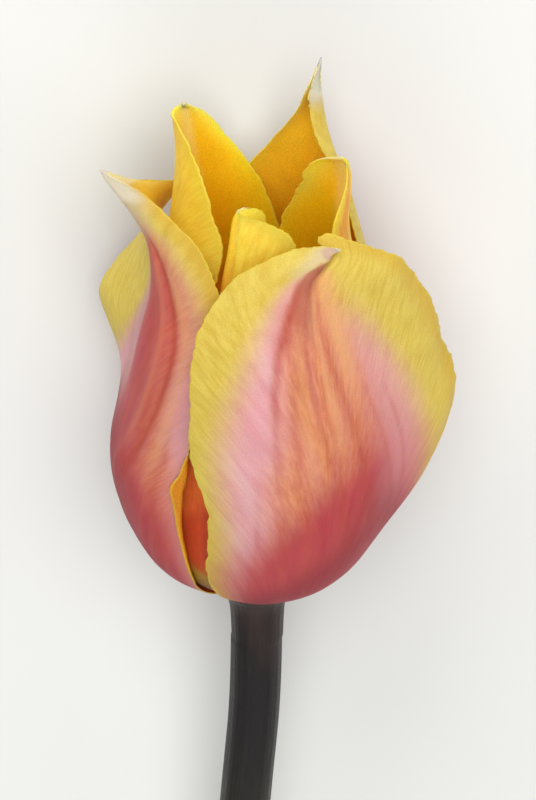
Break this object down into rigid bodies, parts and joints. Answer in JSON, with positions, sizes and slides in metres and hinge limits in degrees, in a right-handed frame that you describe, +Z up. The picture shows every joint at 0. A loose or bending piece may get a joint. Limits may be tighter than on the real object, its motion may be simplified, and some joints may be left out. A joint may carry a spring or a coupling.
{
  "type": "cut tulip",
  "caption": "Part-opened cut tulip lying on its back: overlapping yellow and rose tepals with curled tips round a pistil and stamens, on a bare cut stem.",
  "frame": {"origin": "on the surface under the middle of the whole flower's box", "axes": "+Y from the cut end of the stem to the flower's mouth, +Z up, away from the surface it lies on"},
  "size_m": [0.0538, 0.2642, 0.0482],
  "materials": {
    "outer_tepal": "satin petal, yellow edge over rose and salmon",
    "inner_tepal": "satin petal, golden yellow",
    "pistil": "matte, pale green",
    "stamen": "matte, powdery, dark purple",
    "stem": "satin, smooth, grey green with a purple flush"
  },
  "bodies": {
    "root": {"tepal_outer_front": "outer_tepal", "tepal_outer_left": "outer_tepal", "tepal_outer_back": "outer_tepal", "tepal_inner_back": "inner_tepal", "tepal_inner_right": "inner_tepal", "tepal_inner_front": "inner_tepal", "pistil": "pistil", "stamen_1": "stamen", "stamen_2": "stamen", "stamen_3": "stamen", "stamen_4": "stamen", "stamen_5": "stamen", "stamen_6": "stamen", "stem": "stem"}
  },
  "joints": []
}
